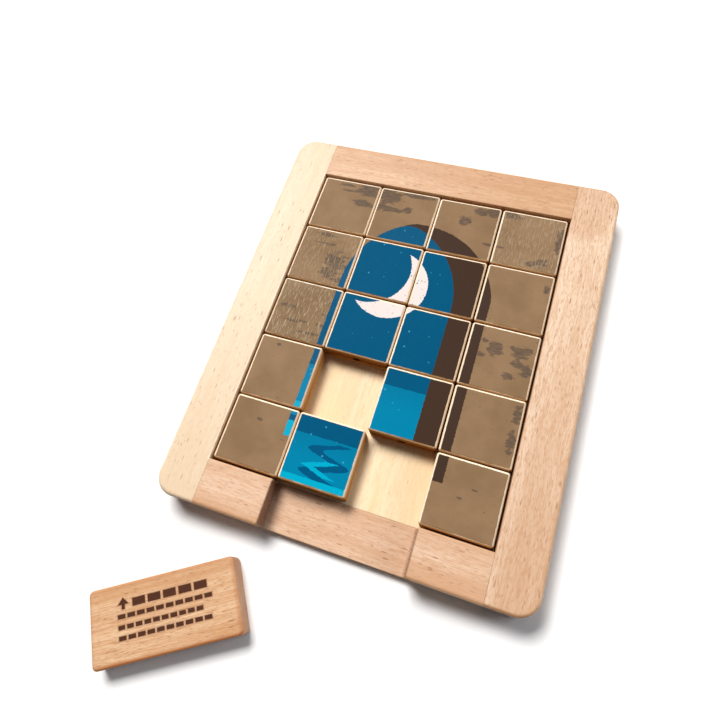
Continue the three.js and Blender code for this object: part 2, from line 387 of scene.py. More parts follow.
def stilePoints(side):
    # Every section is a loop from the pocket's corner line out to the rounded outside and back.
    # Its points slide along four guide lines: outside, rebate wall, pocket wall and eased rim.
    r = tray["cornerRadius"]
    halfLength = stileHigh[1]
    inner, outer = -stileHigh[0], -stileLow[0]
    pocket = railLow[1]
    ease, rebate = tray["pocketEase"], tray["rebateWidth"]
    bend = arc(0, 90, tray["cornerSteps"])
    middleRun = np.linspace(-pocket, pocket, tray["sideStations"])
    # outside path from the near joint round to the far joint, as distance from the middle line
    endRun = np.linspace(inner, outer - r, tray["endStations"])
    few, many = len(endRun), len(middleRun) + 2
    turnX, turnY = outer - r + r * np.sin(bend), halfLength - r + r * np.cos(bend)
    straightEnd = halfLength - r - tray["pastCorner"]
    pathX = join([endRun, turnX[1:], np.full(many, outer), turnX[::-1][1:], endRun[::-1][1:]])
    pathY = join([np.full(few, -halfLength), -turnY[1:], [-straightEnd], middleRun, [straightEnd],
                  turnY[::-1][1:], np.full(few - 1, halfLength)])
    endOnes, sideOnes = np.ones(few), np.ones(many)
    sine, cosine = np.sin(bend), np.cos(bend)
    normalX = join([0 * endOnes, sine[1:], sideOnes, sine[::-1][1:], 0 * endOnes[1:]])
    normalY = join([-endOnes, -cosine[1:], 0 * sideOnes, cosine[::-1][1:], endOnes[1:]])
    at = np.arange(len(pathX), dtype=float)
    nearTurn, last = float(few + len(bend) - 1), at[-1]
    farTurn = nearTurn + len(middleRun)
    stops = [0, nearTurn, nearTurn + 1, farTurn - 1, farTurn, last]
    wallY = np.interp(at, stops, [-pocket, -pocket, -pocket, pocket, pocket, pocket])
    middle = (at > nearTurn) & (at < farTurn)
    wallY[middle] = np.clip(pathY[middle], -pocket, pocket)
    wallX = np.full(len(at), inner)
    easeX = np.interp(at, [0, few - 1, last - few + 1, last], [inner, inner + ease, inner + ease, inner])
    easeY = wallY + np.where(at <= nearTurn, -ease, np.where(at >= farTurn, ease, 0.0))
    easeY = np.where(middle, np.interp(wallY, [-pocket, pocket], [-pocket - ease, pocket + ease]), easeY)
    rebateX = inner + np.interp(at, [0, nearTurn, last - few + 2, last], [0, rebate, rebate, 0])
    rebateY = wallY + np.interp(at, [farTurn - 1, farTurn + tray["rebateTurn"], last], [0, rebate, rebate])
    # the rounded edge, as inset from the outside and height
    e, s = tray["edgeRadius"], tray["support"]
    inset = join([[e + s], e * rollInset, [0, 0, 0], e * rollRise, [e + s]])
    middles = trayTop * np.array([0.3, 0.5, 0.7])
    height = join([[0], e * rollRise, middles, trayTop - e * rollInset, [trayTop]])
    edge = join([[0], rollWear, [0, 0, 0], rollWear, [0]])
    sideShare = join([[0], np.sin(roll), [1, 1, 1], np.cos(roll), [0]])
    outX = pathX[:, None] - normalX[:, None] * inset
    outY = pathY[:, None] - normalY[:, None] * inset
    outside = station(outX, outY, height, edge, normalY[:, None] ** 2 * sideShare)
    cross = np.stack([outX[:, -1] - easeX, outY[:, -1] - easeY])
    lines = [station(easeX + cross[0] * share, easeY + cross[1] * share, trayTop)
             for share in (0.66, 0.33, s / np.linalg.norm(cross, axis=0))]
    # the middle of the eased rim bulges a little, so that it reads as rounded
    bulgeX, bulgeY = wallX + (easeX - wallX) * 0.3, wallY + (easeY - wallY) * 0.3
    lines += [station(easeX, easeY, trayTop, 0.9), station(bulgeX, bulgeY, trayTop - ease * 0.3, 1.0),
              station(wallX, wallY, trayTop - ease, 0.9), station(wallX, wallY, trayTop - ease - s),
              station(wallX, wallY, tray["rebateHeight"]), station(rebateX, rebateY, tray["rebateHeight"])]
    values = join([station(rebateX, rebateY, 0.0)[:, None], outside, np.stack(lines, 1)], 1)
    values[..., 0] *= side
    return values


def loftPiece(name, values):
    # closed sections carried along a path, with a flat cap on each end
    count, width = values.shape[:2]
    faces = ringFaces(count, width).reshape(-1, 4).tolist()
    faces += [list(range(width))[::-1], list(range((count - 1) * width, count * width))]
    rows = values.reshape(-1, 5)
    return makePiece(name, rows[:, :3], faces, {"edge": rows[:, 3], "endGrain": rows[:, 4]})


leftStile = loftPiece("leftStile", stilePoints(-1))
rightStile = loftPiece("rightStile", stilePoints(1))


def topRailPoints():
    # the far rail's outline in y and z, the same all the way along x
    e, s, ease = tray["edgeRadius"], tray["support"], tray["pocketEase"]
    inner, outer = railLow[1], railHigh[1]
    outline = [(inner + tray["rebateWidth"], 0, 0), (outer - e - s, 0, 0)]
    outline += zip(outer - e * rollInset, e * rollRise, rollWear)
    outline += [(outer, trayTop * 0.5, 0)]
    outline += zip(outer - e * rollRise, trayTop - e * rollInset, rollWear)
    outline += [(outer - e - s, trayTop, 0), (inner + ease + s, trayTop, 0), (inner + ease, trayTop, 0.9),
                (inner + 0.3 * ease, trayTop - 0.3 * ease, 1.0), (inner, trayTop - ease, 0.9),
                (inner, trayTop - ease - s, 0), (inner, tray["rebateHeight"], 0),
                (inner + tray["rebateWidth"], tray["rebateHeight"], 0)]
    along = np.linspace(railLow[0], railHigh[0], tray["sideStations"])
    return station(along[:, None], *np.array(outline).T)


topRail = loftPiece("topRail", topRailPoints())


def bottomRailPoints():
    # The height of the near rail follows the channel: level, down the end wall, round the foot, floor.
    # That path is carried across y, rolled over at the outside and eased at the pocket side.
    e, s, ease = tray["edgeRadius"], tray["support"], tray["pocketEase"]
    wall, foot, floor = tray["channelHalfWidth"], tray["channelFoot"], tray["floorHeight"]
    top, down, level = tray["rimStations"], tray["dropStations"], tray["halfFloorStations"]
    end = -nearLow[0]
    turn = arc(0, 90, tray["footSteps"])[1:]
    topRun = np.linspace(-end, -wall - ease - s, top)
    rim = -wall - ease * np.array([1.0, 0.3, 0.0])
    drop = np.linspace(trayTop - ease - s, floor + foot, down)
    halfFloor = np.linspace(-wall + foot + s, 0, level)
    x = join([topRun, rim, np.full(down, -wall), -wall + foot * (1 - np.cos(turn)), halfFloor])
    z = join([np.full(top, trayTop), trayTop - ease * np.array([0.0, 0.3, 1.0]), drop,
              floor + foot * (1 - np.sin(turn)), np.full(level, floor)])
    lean = join([np.zeros(top), [0.38, 0.70, 0.92], np.ones(down), np.cos(turn), np.zeros(level)])
    rise = np.sqrt(1 - lean ** 2)
    # the underside's share of the path, kept clear of the end wall
    stops = np.append(np.cumsum([0, top - 1, 3, down, len(turn), 1]), len(x) - 1)
    pull = tray["underPull"]
    under = np.interp(np.arange(len(x)), stops, [-end, -wall - pull[0], -wall - pull[1], -wall - pull[2],
                                                 -wall + foot, -wall + foot + s, 0])
    heights = [floor, floor + foot, trayTop - ease, trayTop]
    rollRadius = np.interp(z, heights, tray["nearRoll"])
    innerEase = np.interp(z, heights, tray["nearEase"])
    x, under, lean = (join([v, -v[::-1][1:]]) for v in (x, under, lean))
    both = (z, rise, rollRadius, innerEase)
    z, rise, rollRadius, innerEase = (join([v, v[::-1][1:]]) for v in both)
    outer, inner = nearLow[1], nearHigh[1]
    # the end walls and their foot take the endGrain attribute: end grain, and painted shade in the channel
    # through the rail's dark end colour
    endGrainAndShade = np.abs(lean)
    lines = [station(under, y, 0.0) for y in (inner, (inner + outer) / 2, outer + e + s)]
    for inset, up, worn in zip(rollInset, rollRise, rollWear):
        lines.append(station(under, outer + e * inset, e * up, worn))
    lines.append(station(under + (x - under) * 0.45, outer, e + (z - rollRadius * rise - e) * 0.45))
    for inset, up, worn in zip(rollInset, rollRise, rollWear):
        sunk = rollRadius * inset
        y = outer + rollRadius * up
        lines.append(station(x - lean * sunk, y, z - rise * sunk, worn, endGrainAndShade * (1 - inset)))
    lines.append(station(x, outer + rollRadius + s, z, 0, endGrainAndShade))
    lines += [station(x, outer + (inner - outer) * share, z, 0, endGrainAndShade) for share in (0.25, 0.5, 0.75)]
    lines.append(station(x, inner - innerEase - s, z, 0, endGrainAndShade))
    part = 0.3 * innerEase
    for sunk, back, worn in ((0, innerEase, 0.8), (part, part, 0.9), (innerEase, 0, 0.8)):
        lines.append(station(x - lean * sunk, inner - back, z - rise * sunk, worn))
    return np.stack(lines, 1)


bottomRail = loftPiece("bottomRail", bottomRailPoints())
print("tray made")


# Tiles: a rounded square carried down from the printed face, over the edge and down the side
tile = dict(
    cornerRadius=1.1 * mm, edgeRadius=0.8 * mm, support=0.15 * mm, holeRadius=1.5 * mm,
    holeDepth=4.0 * mm, holeLip=0.12 * mm,
    holeFrame=2.0 * mm,  # half of the square of side faces that the hole takes up
    holeSteps=8,  # faces along each side of that square
    sideStops=5,
    tilt=0.3,  # degrees, at most, that a loose tile rocks or turns
    seed=11,
    rightShare=0.45,  # how much painted shade the edges on the right get, as a share of the near ones
    relief=0.25,  # how far the wood's grain shows through the print and how strong a pale painted sheen its raised fibres get, and the tiles where it differs
    reliefOf=dict(tile_r1c1=0.5, tile_r1c2=0.6, tile_r1c4=1.1, tile_r2c1=1.1, tile_r3c1=1.6),
)


def squareOutline(halfX, halfY, radius, stops, cornerSteps):
    # rounded rectangle, anticlockwise from the near side; stops are shares of each straight
    bend = arc(0, 90, cornerSteps)[1:-1]
    cx, cy, sides = halfX - radius, halfY - radius, np.ones(len(stops))
    sine, cosine = radius * np.sin(bend), radius * np.cos(bend)
    x = join([stops * cx, cx + sine, sides * halfX, cx + cosine])
    y = join([-sides * halfY, -cy - cosine, stops * cy, cy + sine])
    return join([x, -x]), join([y, -y])


def slabProfile(thickness, radius, support, sideRows):
    # inset and height from the middle of the top face, over the edge, to the middle of the underside;
    # rim is the way along it from the edge of the face, positive on the face and negative on the side
    roll = arc(0, 90, 5)
    inset = join([[4 * mm, 2 * mm, radius + support], radius * (1 - np.sin(roll))])
    height = join([np.full(3, thickness), thickness - radius * (1 - np.cos(roll))])
    rim = join([inset[:3] - radius, -radius * roll])
    rows = sideRows[(sideRows > thickness / 2) & (sideRows < thickness - radius - 1e-6)][::-1]
    inset = join([inset, np.zeros(len(rows))])
    height = join([height, rows])
    rim = join([rim, -radius * math.pi / 2 - (thickness - radius - rows)])
    middleRim = -radius * math.pi / 2 - (thickness / 2 - radius)
    return (join([inset, [0], inset[::-1]]),
            join([height, [thickness / 2], (thickness - height)[::-1]]),
            join([rim, [middleRim], rim[::-1]]))


def tileParts(halfX, halfY, thickness, cornerRadius, edgeRadius, hole):
    # points, faces and attributes of a slab standing on z = 0 about its own middle
    frameHalf, across, sideStops = tile["holeFrame"], tile["holeSteps"], tile["sideStops"]
    inside = np.linspace(-frameHalf, frameHalf, across + 1)
    straight = halfX - cornerRadius
    stops = join([np.linspace(-1, -frameHalf / straight, sideStops)[:-1], inside / straight,
                  np.linspace(frameHalf / straight, 1, sideStops)[1:]])
    margin = edgeRadius + 0.3 * mm
    sideRows = join([[margin], thickness / 2 + inside, [thickness - margin]])
    inset, height, rim = slabProfile(thickness, edgeRadius, tile["support"], sideRows)
    rings = []
    for depth in inset:
        radius = max(cornerRadius - depth, 0.25 * mm)
        x, y = squareOutline(halfX - depth, halfY - depth, radius, stops, 6)
        rings.append(np.stack([x, y], -1))
    rings = np.array(rings)
    width = rings.shape[1]
    points = join([rings, np.broadcast_to(height[:, None, None], (len(height), width, 1))], -1)
    outline = rings[len(rings) // 2]
    ahead = np.roll(outline, -1, 0) - np.roll(outline, 1, 0)
    stride = np.linalg.norm(ahead, axis=1)
    # how far each edge faces the near side, and the right side by a share: where painted shade goes
    nearSide = np.clip(ahead[:, 0] / stride, 0, 1) + tile["rightShare"] * np.clip(ahead[:, 1] / stride, 0, 1)
    faces = ringFaces(len(height), width)
    keep = np.ones(faces.shape[:2], bool)
    points = points.reshape(-1, 3)
    extra, extraFaces, extraRim = [], [], []
    if hole:
        # the side faces round the hole give way to rings that pass from the square to the circle
        firstRow = int(np.argmin(np.abs(height - (thickness / 2 + frameHalf))))
        firstColumn = sideStops - 1
        keep[firstRow:firstRow + across, firstColumn:firstColumn + across] = False
        up, down, count = np.arange(across), np.arange(across, 0, -1), 4 * across
        row = join([0 * up, up, 0 * up + across, down])
        column = join([up, 0 * up + across, down, 0 * up])
        border = (firstRow + row) * width + firstColumn + column
        square = points[border]
        angle = np.arctan2(square[:, 2] - thickness / 2, square[:, 0])
        lip, radius = tile["holeLip"], tile["holeRadius"]
        for r, depth in ((radius + lip, 0.0), (radius, lip), (radius, radius), (radius, tile["holeDepth"])):
            extra.append(np.stack([r * np.cos(angle), np.full(count, -halfY + depth),
                                   thickness / 2 + r * np.sin(angle)], -1))
        ringStart = len(points) + np.arange(len(extra))[:, None] * count + np.arange(count)[None, :]
        chain = join([border[None, :], ringStart])
        after = np.roll(chain, -1, 1)
        extraFaces = np.stack([chain[:-1], chain[1:], after[1:], after[:-1]], -1).reshape(-1, 4).tolist()
        extraFaces.append(ringStart[-1].tolist())
        extraRim = [rim.min() * np.repeat([1.0, 1.0, 3.0, 3.0], count)]
    faceList = faces[keep].tolist() + extraFaces
    faceList += [list(range(width))[::-1], list(range((len(height) - 1) * width, len(height) * width))]
    holePoints = np.ones(sum(map(len, extra)))
    values = dict(endGrain=np.abs(ahead[:, 0]) / stride, nearSide=nearSide)
    shape = (len(height), width)
    for key, value in values.items():
        values[key] = join([np.broadcast_to(value, shape).ravel(), holePoints])
    values["rim"] = join([np.broadcast_to(rim[:, None], shape).ravel()] + extraRim) / mm
    return join([points] + extra), faceList, values


tileNames = sorted(name for name in frame["nodes"] if name.startswith("tile_"))
tileLow, tileHigh = corners(tileNames[0])
tileSize = tileHigh - tileLow
tilePoints, tileFaces, tileExtras = tileParts(tileSize[0] / 2, tileSize[1] / 2, tileSize[2],
                                              tile["cornerRadius"], tile["edgeRadius"], hole=True)
draws = np.random.default_rng(tile["seed"])
tiles = {}
for name in tileNames:
    low, high = corners(name)
    rock = np.radians(draws.uniform(-tile["tilt"], tile["tilt"], 3))
    centre = (low + high) / 2
    middle = tilePoints - [0, 0, tileSize[2] / 2]
    # small turns about x, y and z, one after another
    x, y, z = middle.T
    y, z = y - rock[0] * z, z + rock[0] * y
    x, z = x + rock[1] * z, z - rock[1] * x
    x, y = x - rock[2] * y, y + rock[2] * x
    placed = np.stack([x, y, z], -1) + centre
    depth = tile["reliefOf"].get(name, tile["relief"])
    extras = dict(tileExtras, relief=np.full(len(placed), depth))
    tiles[name] = makePiece(name.replace("_", "") + "Wood", placed, tileFaces, extras)

# The block: the same kind of slab, longer and softer, turned where it lies
block = dict(length=61.5 * mm, width=29.5 * mm, turn=31.5, cornerRadius=2.0 * mm, edgeRadius=0.9 * mm)
blockLow, blockHigh = corners("lift_out_block")
blockCentre = (blockLow + blockHigh) / 2
blockPoints, blockFaces, blockExtras = tileParts(block["length"] / 2, block["width"] / 2, blockHigh[2],
                                                 block["cornerRadius"], block["edgeRadius"], hole=False)
turn = math.radians(block["turn"])
spin = np.array([[math.cos(turn), -math.sin(turn), 0], [math.sin(turn), math.cos(turn), 0], [0, 0, 1]])
blockPlaced = blockPoints @ spin.T + [blockCentre[0], blockCentre[1], 0]
blockPiece = makePiece("liftOutBlock", blockPlaced, blockFaces, blockExtras)
print("tiles and block made")


# The printed picture, in millimetres from the tray's middle: an archway with night sky over water
picture = dict(
    wall="#937658", wallDeep="#85694c", patch="#5f4f43", reveal="#423026",
    sky="#005479", skyDeep="#00476a", skyDot="#45a3bd", moon="#e6dad5", moonDot="#5d636c",
    seaFar="#007499", sea="#007ca2", seaDeep="#00527a", shallow="#00a3c2",
    leftArc=((5.3, 20.6), 39.1), rightArc=((-22.4, 16.8), 41.9), revealArc=((-2.4, 19.2), 38.4),
    apexEase=6.0, revealSide=35.4, sill=-57.0, horizon=-23.6,
    moonDisc=((-10.8, 23.5), 17.56), moonBite=((-21.8, 30.4), 18.9),
    edgeWander=0.88, edgeSoft=0.08,
    wallNoise=((0.05,) * 3, 4.0, 0.6), wallLevels=(0.3, 0.7),
    rag=((0.20, 0.55, 0.3), 7.0, 0.68), patchReach=1.35, patchPull=0.34, patchLevels=(0.64, 0.69),
    brush=((0.3, 2.2, 0.3), 3.0), brushLevels=(0.3, 0.6), brushShares=(0.45, 1.0),
    skyNoise=((0.3,) * 3, 3.0), skyDepth=0.4,
    # cells, amount and sizes of the pale dots on the sky and the dark ones on the moon
    stars=((0.42, 0.42, 1.0), 0.22, (0.08, 0.26)), starStrength=0.75,
    craters=((0.58, 0.58, 1.0), 0.6, (0.1, 0.34)), craterStrength=0.9,
    # the dark path winds down the water: turns per millimetre, swing, middle, half width and its growth
    pathTurn=0.655, pathStart=-0.26, pathSwing=6.0, pathMiddle=-12.0, pathHalf=2.8, pathGrowth=0.12,
    pathTop=1.0,
    # the bright one has one elbow: its depth, slope, place across, half width and half length
    elbowDepth=12.4, elbowSlope=3.1, elbowX=-19.5, litHalf=2.9, litReach=3.4,
    # depths where the bright shallows begin, the open water ends, and two bands below it begin
    shallowDepth=17.9, shallowSwing=0.8, openWater=21.6, darkBand=24.0, brightBand=26.6, farFade=12.0,
    paintedSide=-0.3,  # the paths and shallows stay left of this
    # middle and half sizes of the worn patches on the wall
    patches=[(-36, 71, 7, 3.5), (-36, 63, 7, 2.0), (-47, 72, 6, 0.9), (-45, 69, 5, 0.7), (-25, 70, 7, 4.5),
             (-24, 63, 8, 2.0), (-12, 73, 10, 1.6), (-14, 64, 2.5, 2), (14, 64.5, 3, 3), (21, 71, 4, 2.5),
             (26, 71.5, 4, 3), (27, 54, 2.5, 0.8), (35, 72, 6, 2), (52.5, 50, 3, 3), (48, 48.5, 3, 1.5),
             (58, 62, 1.6, 9), (33, 54, 2.5, 0.7), (-47, 42, 6, 1.1), (-46, 37, 5, 0.8), (-39, 28, 6, 5.5),
             (-41, 22, 5, 3), (-35, 19, 4, 1.5), (57.5, 37.5, 1.8, 2), (-53, 1, 6, 1.0), (-50, -6, 5, 0.8),
             (-44, -5, 3, 0.7), (-38, -10, 6, 0.8), (-35, -5, 3, 0.9), (-34, 0.5, 2.4, 0.8),
             (37.5, 7, 1.8, 1.2),
             (42, 4.5, 4.0, 3.4), (53, 5.5, 5.0, 3.0), (52.5, 0, 3.4, 1.8), (57, -2.5, 3.0, 2.6),
             (50.5, -6.5, 3.0, 1.7), (37, 0.5, 2.4, 1.3), (57.5, -22, 2.2, 5), (57, -33, 2.0, 6),
             (-50.5, -18.5, 1.2, 0.8), (-46, -53.7, 1.6, 0.7), (48, -56, 1.8, 0.6), (43, -60.5, 1.4, 0.6)],
)


def buildPicture():
    look = picture
    outputs = [("Colour", "Color"), ("Wall", "Float")]
    tree, given, result = newGroup("nightArchPicture", [("Place", "Vector", None)], outputs)
    flat = vectorCalc("MULTIPLY", given["Place"], (1, 1, 0))
    sockets = {"Vector": flat, "Scale": 0.9, "Detail": 3.0}
    ragged = addNode("TexNoise", sockets).outputs["Color"]
    ragged = vectorCalc("SUBTRACT", ragged, (0.5,) * 3)
    ragged = vectorCalc("MULTIPLY", ragged, (look["edgeWander"],) * 3)
    x, y, _ = split(vectorCalc("ADD", flat, ragged))

    def away(dx, dy, radius):
        # distance outside a circle, from the way across and up to its middle
        squares = plus(times(dx, dx), times(dy, dy))
        return minus(calc("SQRT", squares), radius)

    def sideDistance(centre, radius, turn):
        # distance outside a circle whose side runs straight down below its middle
        dx = largest(times(minus(x, centre[0]), turn), 0.0)
        return away(dx, largest(minus(y, centre[1]), 0.0), radius)

    def discDistance(centre, radius):
        return away(minus(x, centre[0]), minus(y, centre[1]), radius)

    def inside(distance):
        return fade(distance, look["edgeSoft"], -look["edgeSoft"])

    def paintOver(base, share, name):
        return mixColour(share, base, colour(look[name]))

    # wall: two close browns, with older darker patches here and there
    tone = fade(noise(flat, *look["wallNoise"]), *look["wallLevels"])
    wall = mixColour(tone, look["wall"], look["wallDeep"])
    rag = noise(flat, *look["rag"])
    nearPatch = 0.0
    for px, py, rx, ry in look["patches"]:
        shifted = vectorCalc("SUBTRACT", flat, (px, py, 0))
        reach = length(vectorCalc("MULTIPLY", shifted, (1 / rx, 1 / ry, 0)))
        nearPatch = largest(nearPatch, minus(look["patchReach"], reach))
    patch = fade(timesPlus(nearPatch, look["patchPull"], rag), *look["patchLevels"])
    brush = fade(noise(flat, *look["brush"]), *look["brushLevels"], *look["brushShares"])
    wall = paintOver(wall, times(patch, brush), "patch")

    # sky, and the water below the horizon
    skyTone = times(noise(flat, *look["skyNoise"]), look["skyDepth"])
    sky = mixColour(skyTone, look["sky"], look["skyDeep"])
    dots = fleckMask(flat, *look["stars"])
    depth = minus(look["horizon"], y)
    leftPart = inside(minus(x, look["paintedSide"]))
    sway = calc("COSINE", timesPlus(depth, look["pathTurn"], look["pathStart"]))
    offPath = minus(x, timesPlus(sway, look["pathSwing"], look["pathMiddle"]))
    pathHalf = timesPlus(depth, look["pathGrowth"], look["pathHalf"])
    dark = inside(minus(calc("ABSOLUTE", offPath), pathHalf))
    darkPath = times(dark, inside(minus(look["pathTop"], depth)))
    litOff = calc("ABSOLUTE", minus(depth, look["elbowDepth"]))
    litMiddle = timesPlus(litOff, look["elbowSlope"], look["elbowX"])
    litBand = minus(calc("ABSOLUTE", minus(x, litMiddle)), look["litHalf"])
    lit = times(inside(litBand), inside(minus(litOff, look["litReach"])))
    shore = plus(depth, times(sway, look["shallowSwing"]))
    lit = largest(lit, inside(minus(look["shallowDepth"], shore)))
    lit = times(lit, leftPart)
    sea = mixColour(fade(depth, 0.0, look["farFade"]), look["seaFar"], look["sea"])
    sea = paintOver(sea, times(darkPath, leftPart), "seaDeep")
    sea = paintOver(sea, times(lit, inside(minus(depth, look["openWater"]))), "shallow")
    sea = paintOver(sea, inside(minus(look["darkBand"], depth)), "seaDeep")
    sea = paintOver(sea, inside(minus(look["brightBand"], depth)), "shallow")
    view = mixColour(inside(times(depth, -1.0)), sky, sea)
    view = paintOver(view, times(dots, look["starStrength"]), "skyDot")
    unbitten = fade(discDistance(*look["moonBite"]), -look["edgeSoft"], look["edgeSoft"])
    moon = times(inside(discDistance(*look["moonDisc"])), unbitten)
    craters = times(fleckMask(flat, *look["craters"]), look["craterStrength"])
    moonShade = mixColour(craters, look["moon"], look["moonDot"])
    view = mixColour(moon, view, moonShade)

    # the opening lies over its shaded reveal, and both over the wall
    sill = minus(look["sill"], y)
    leftSide = sideDistance(*look["leftArc"], -1.0)
    pastReveal = minus(x, look["revealSide"])
    revealMask = inside(largest(sideDistance(*look["revealArc"], 1.0), leftSide, pastReveal, sill))
    opening = calc("SMOOTH_MAX", leftSide, sideDistance(*look["rightArc"], 1.0), look["apexEase"])
    viewMask = inside(largest(opening, sill))
    paint = mixColour(viewMask, paintOver(wall, revealMask, "reveal"), view)
    feed(result, dict(Colour=paint, Wall=minus(1.0, largest(revealMask, viewMask))))
    return tree


backLook = dict(
    centre=(-6, 8, 0), rayTurn=0.26, rayEdge=(0.125, 0.135), sunEdge=(31.2, 31.0), haloEdge=(39.2, 39.0),
    ray="#d8432c", gap="#ef7a55", halo="#f4a27f", sun="#f7ddc8",
)


def buildBackPicture():
    # the other face: a pale sun with broad warm rays
    look = backLook
    outputs = [("Colour", "Color")]
    tree, given, result = newGroup("warmSunPicture", [("Place", "Vector", None)], outputs)
    flat = vectorCalc("MULTIPLY", given["Place"], (1, 1, 0))
    centred = vectorCalc("SUBTRACT", flat, look["centre"])
    x, y, _ = split(centred)
    reach = length(centred)
    angle = calc("ARCTAN2", y, x)
    ray = calc("PINGPONG", plus(angle, 4.0), look["rayTurn"])
    warm = mixColour(fade(ray, *look["rayEdge"]), look["ray"], look["gap"])
    halo = mixColour(fade(reach, *look["haloEdge"]), warm, look["halo"])
    sun = mixColour(fade(reach, *look["sunEdge"]), halo, look["sun"])
    feed(result, dict(Colour=sun))
    return tree


frontPicture = buildPicture()
backPicture = buildBackPicture()

tileLook = dict(
    # the fourth colour is painted shade for the rims of the near and right edges
    barePale="#fff3df", bareDeep="#f3d9b6", bareFleck="#b98c5c", bareNear="#b07c45",
    sidePale="#ecc08c", sideDeep="#cf9657", endPale="#d39a58", endDeep="#a0662c",
    # the last colour is a pale painted sheen on raised fibres
    burnt="#4a2810", scorch="#6e4520", rubbed="#b9a184",
    # millimetres along the rim where the print ends and where the bare wood turns to browned side
    # the last two pairs place that painted shade on the rims of the near and right edges
    printEdge=(-0.12, 0.12), sideEdge=(-0.9, -1.5), nearEdge=(0.0, -0.45), nearShares=(0.45, 0.95),
    chip=((0.5,) * 3, 4.0, 0.7), chipping=0.5,
    # scorch levels and strength, with the line's start and end below, draw a painted shade line at the
    # print's edge on the near and right edges
    char=((0.12, 0.12, 0.25), 4.0, 0.6), scorchLevels=(0.35, 0.6), scorchStrength=0.7,
    lineStart=(-0.4, -0.1), lineEnd=(0.35, 0.1),
    # the next keys darken the sides toward the bottom and more on end grain: painted shade in the gaps
    # between tiles, mottled by noise
    endLevels=(0.3, 0.7), burnLevels=(0.5, 1.2), burnByDepth=-0.16, burnByScorch=0.5, burnLong=0.45,
    burnEnds=0.3,
    grain=((0.09, 1.1, 1.1), 3.0, 0.6), fine=((0.5, 4.0, 4.0), 2.0), fibre=((0.3, 2.2, 2.2), 2.0, 0.6),
    # the relief levels and the share after them set how strong that painted sheen is
    fibreLevels=(0.44, 0.66), reliefLevels=(0.5, 1.7), rubbedShare=0.85,
    fineHeight=0.2, fibreHeight=0.8, printHeight=0.15, bumpStrength=0.8, bumpDepth=0.3 * mm,
    bareRoughness=(0.5, 0.4), printRoughness=(0.12, 0.34),
)


def tileMaterial(name, gloss, pictureShift=(0.0, 0.0, 0.0)):
    # printed face and back, a thin bare rim over the edge, and browned sides with upright end grain; painted
    # shade browns the near and right rims and the sides lower down, and a pale painted sheen lies on raised
    # fibres
    look = tileLook
    material, shader = newMaterial(name)
    place, upright = objectPlace(90.0), objectPlace()
    rim, ends, near = (attribute(key) for key in ("rim", "endGrain", "nearSide"))
    spot = {"Place": objectPlace(0.0, pictureShift)}
    front = placeGroup(frontPicture, spot)
    back = placeGroup(backPicture, spot)
    up = split(addNode("NewGeometry").outputs["Normal"])[2]
    paint = mixColour(calc("GREATER_THAN", up, 0.0), back["Colour"], front["Colour"])
    bare = grained(place, look["barePale"], look["bareDeep"], look["bareFleck"], 0.6, 0.2, 0.5)
    long = grained(place, look["sidePale"], look["sideDeep"], look["endDeep"], 0.9, 0.5, 0.7)
    across = grained(upright, look["endPale"], look["endDeep"], look["burnt"], 1.0, 0.6, 0.9)
    side = mixColour(fade(ends, *look["endLevels"]), long["Colour"], across["Colour"])
    # painted shade: the sides darken toward the burnt colour lower down, in the shaded gaps between tiles
    scorch = noise(place, *look["char"])
    shadeDepth = timesPlus(rim, look["burnByDepth"], times(scorch, look["burnByScorch"]))
    most = timesPlus(ends, look["burnEnds"], look["burnLong"])
    burn = fade(shadeDepth, *look["burnLevels"], 0.0, most)
    side = mixColour(burn, side, look["burnt"])
    chip = noise(place, *look["chip"])
    edge = plus(rim, timesPlus(chip, look["chipping"], -0.5 * look["chipping"]))
    # painted shade: the bare rim turns brown on the near and right edges
    shadedRim = times(near, fade(edge, *look["nearEdge"], *look["nearShares"]))
    rimShade = mixColour(shadedRim, bare["Colour"], look["bareNear"])
    outer = mixColour(fade(edge, *look["sideEdge"]), rimShade, side)
    printed = fade(edge, *look["printEdge"])
    shade = mixColour(printed, outer, paint)
    # painted shade: a ragged dark line along the print's edge, only on the near and right edges
    line = times(fade(edge, *look["lineStart"]), fade(edge, *look["lineEnd"]))
    line = times(line, times(near, fade(scorch, *look["scorchLevels"])))
    shade = mixColour(times(line, look["scorchStrength"]), shade, look["scorch"])
    # where the wood stands proud of the print its raised fibres are bumped and get a pale painted sheen
    proud = attribute("relief")
    grainLine = noise(place, *look["grain"])
    fine = noise(place, *look["fine"])
    fibre = fade(noise(place, *look["fibre"]), *look["fibreLevels"])
    raised = times(fibre, fade(proud, *look["reliefLevels"], 0.0, look["rubbedShare"]))
    raised = times(raised, front["Wall"])
    shade = mixColour(times(raised, printed), shade, look["rubbed"])
    height = timesPlus(fine, look["fineHeight"], grainLine)
    height = times(timesPlus(raised, look["fibreHeight"], height), proud)
    height = timesPlus(printed, look["printHeight"], height)
    bareRough = timesPlus(bare["Roughness"], *look["bareRoughness"])
    printRough = timesPlus(grainLine, *look["printRoughness"])
    sockets = {0: printed, 2: bareRough, 3: printRough}
    rough = addNode("Mix", sockets, data_type="FLOAT").outputs[0]
    normal = bumpNormal(height, look["bumpStrength"], look["bumpDepth"])
    feed(shader, {"Base Color": shade, "Roughness": rough, "Normal": normal})
    shader["Specular IOR Level"].default_value = gloss
    return material


tileMaterials = {
    "tile_wall": tileMaterial("printedWallTile", 0.03),
    "tile_arch_top": tileMaterial("printedArchHeadTile", 0.02),
    "tile_night": tileMaterial("printedNightTile", 0.01),
    "tile_sea": tileMaterial("printedSeaTile", 0.01),
    "tile_wave": tileMaterial("printedWaveTile", 0.01, pictureShift=(0.0, 30.0, 0.0)),
}

